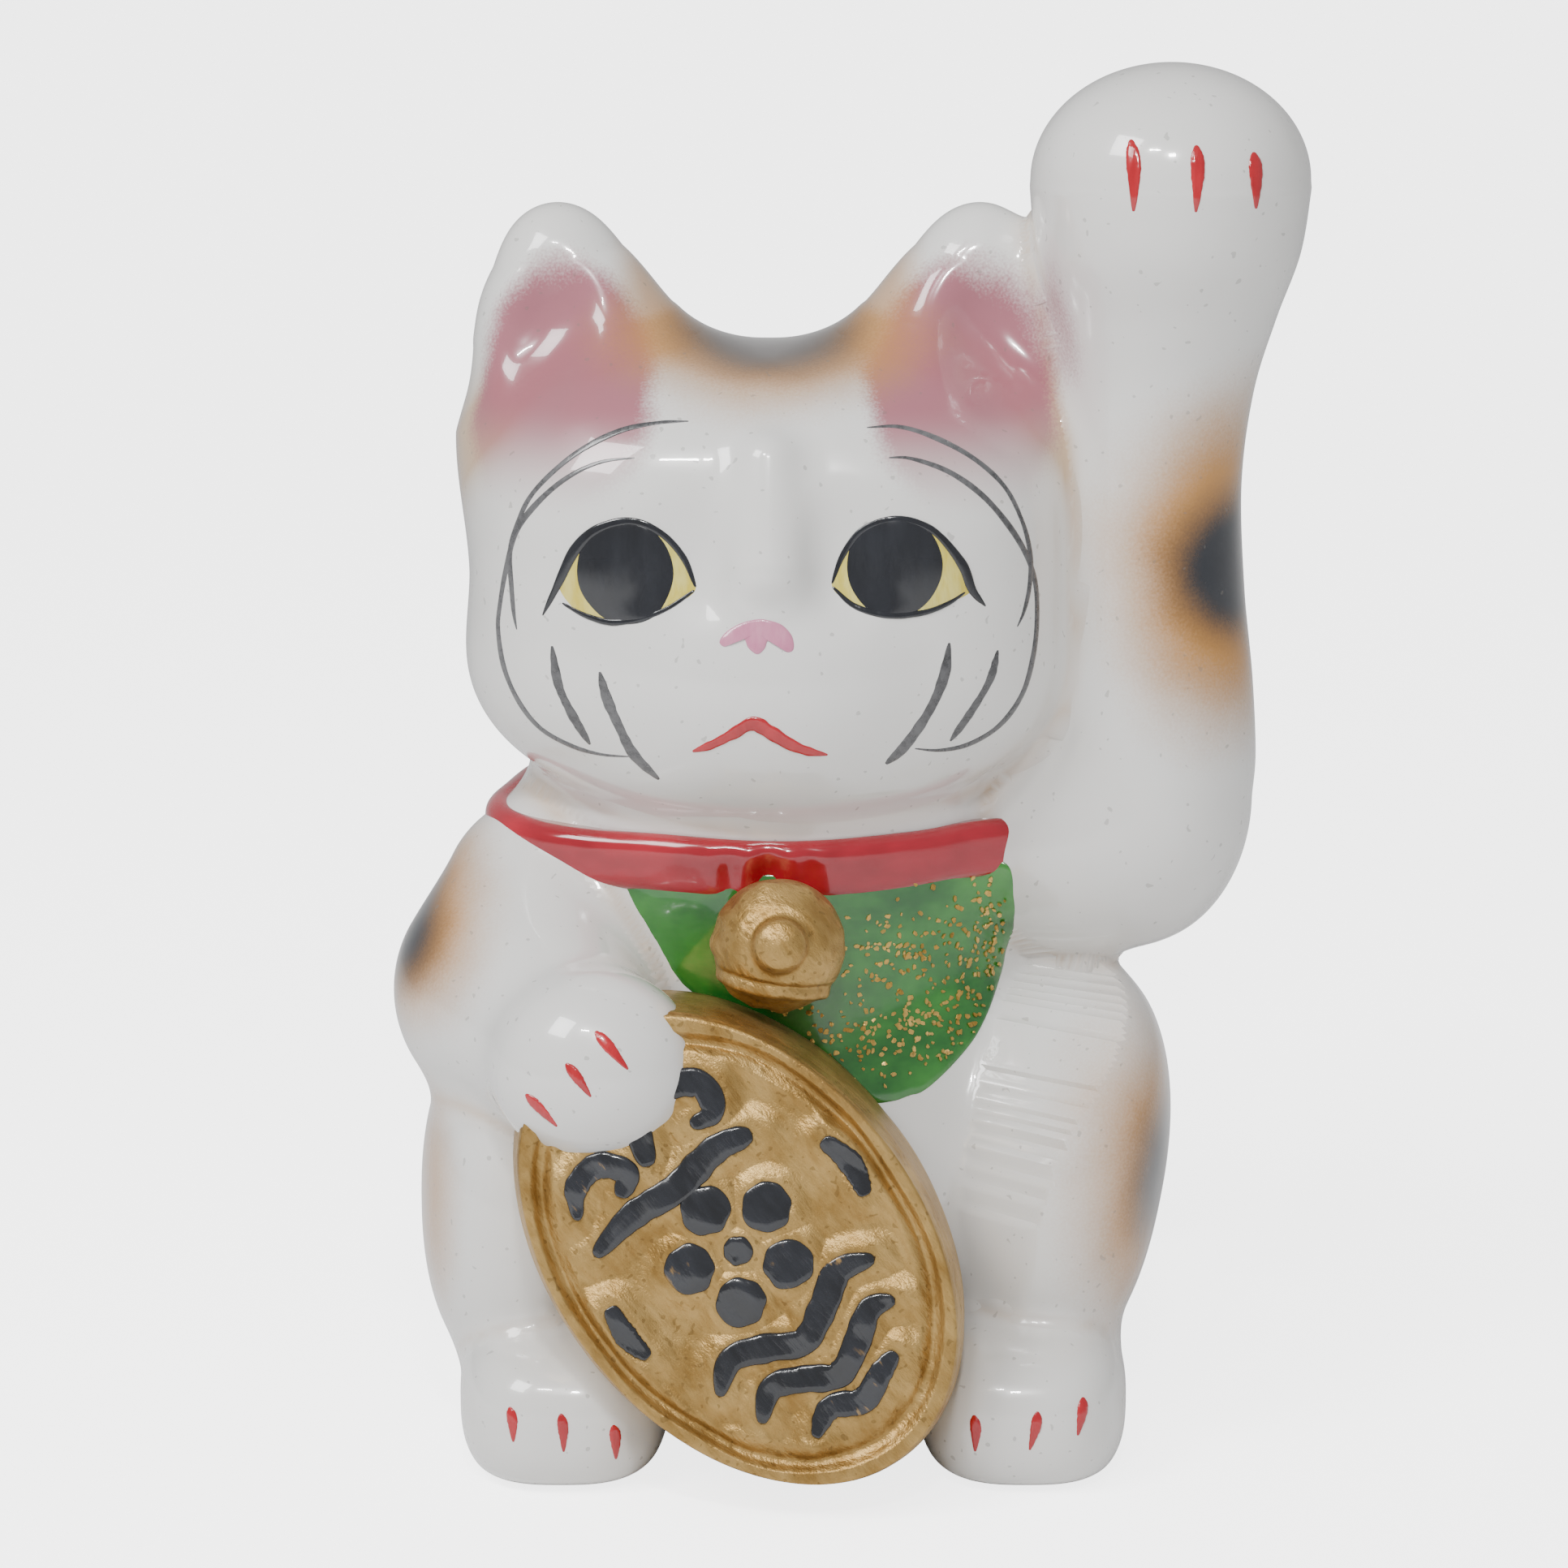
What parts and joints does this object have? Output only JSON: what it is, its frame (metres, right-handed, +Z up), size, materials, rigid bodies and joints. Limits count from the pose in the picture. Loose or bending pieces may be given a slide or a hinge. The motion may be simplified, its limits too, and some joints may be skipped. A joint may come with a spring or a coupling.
{
  "type": "beckoning cat figurine",
  "caption": "Glazed ceramic beckoning cat coin bank: one foreleg raised high, the other on an oval coin, with collar, bell, bib, coin slot and base stopper.",
  "frame": {"origin": "on the flat base, under the neck, midway between the two ears' roots to within 2 mm", "axes": "+Z up through the head, -Y the way the cat faces, +X towards its raised left foreleg"},
  "size_m": [0.1355, 0.1161, 0.2092],
  "materials": {
    "white_glaze": "clear gloss glaze over white earthenware, airbrushed tan and slate patches",
    "red_enamel": "gloss overglaze enamel, dark red",
    "green_enamel": "gloss brushed enamel with gold flakes",
    "gold_paint": "satin cold gold paint over the glaze",
    "stopper_rubber": "matt, grey"
  },
  "bodies": {
    "figurine": {"body_shell": "white_glaze", "head_shell": "white_glaze", "right_ear": "white_glaze", "left_ear": "white_glaze", "raised_foreleg": "white_glaze", "lowered_foreleg": "white_glaze", "right_hind_foot": "white_glaze", "left_hind_foot": "white_glaze", "tail": "white_glaze", "collar": "red_enamel", "bib": "green_enamel", "bell": "gold_paint", "koban_coin": "gold_paint"},
    "stopper": {"base_stopper": "stopper_rubber"}
  },
  "joints": [
    {"name": "stopper_pull", "type": "slide", "parent": "figurine", "child": "stopper", "axis": [0, 0, -1], "range_m": [0, 0.03]}
  ]
}
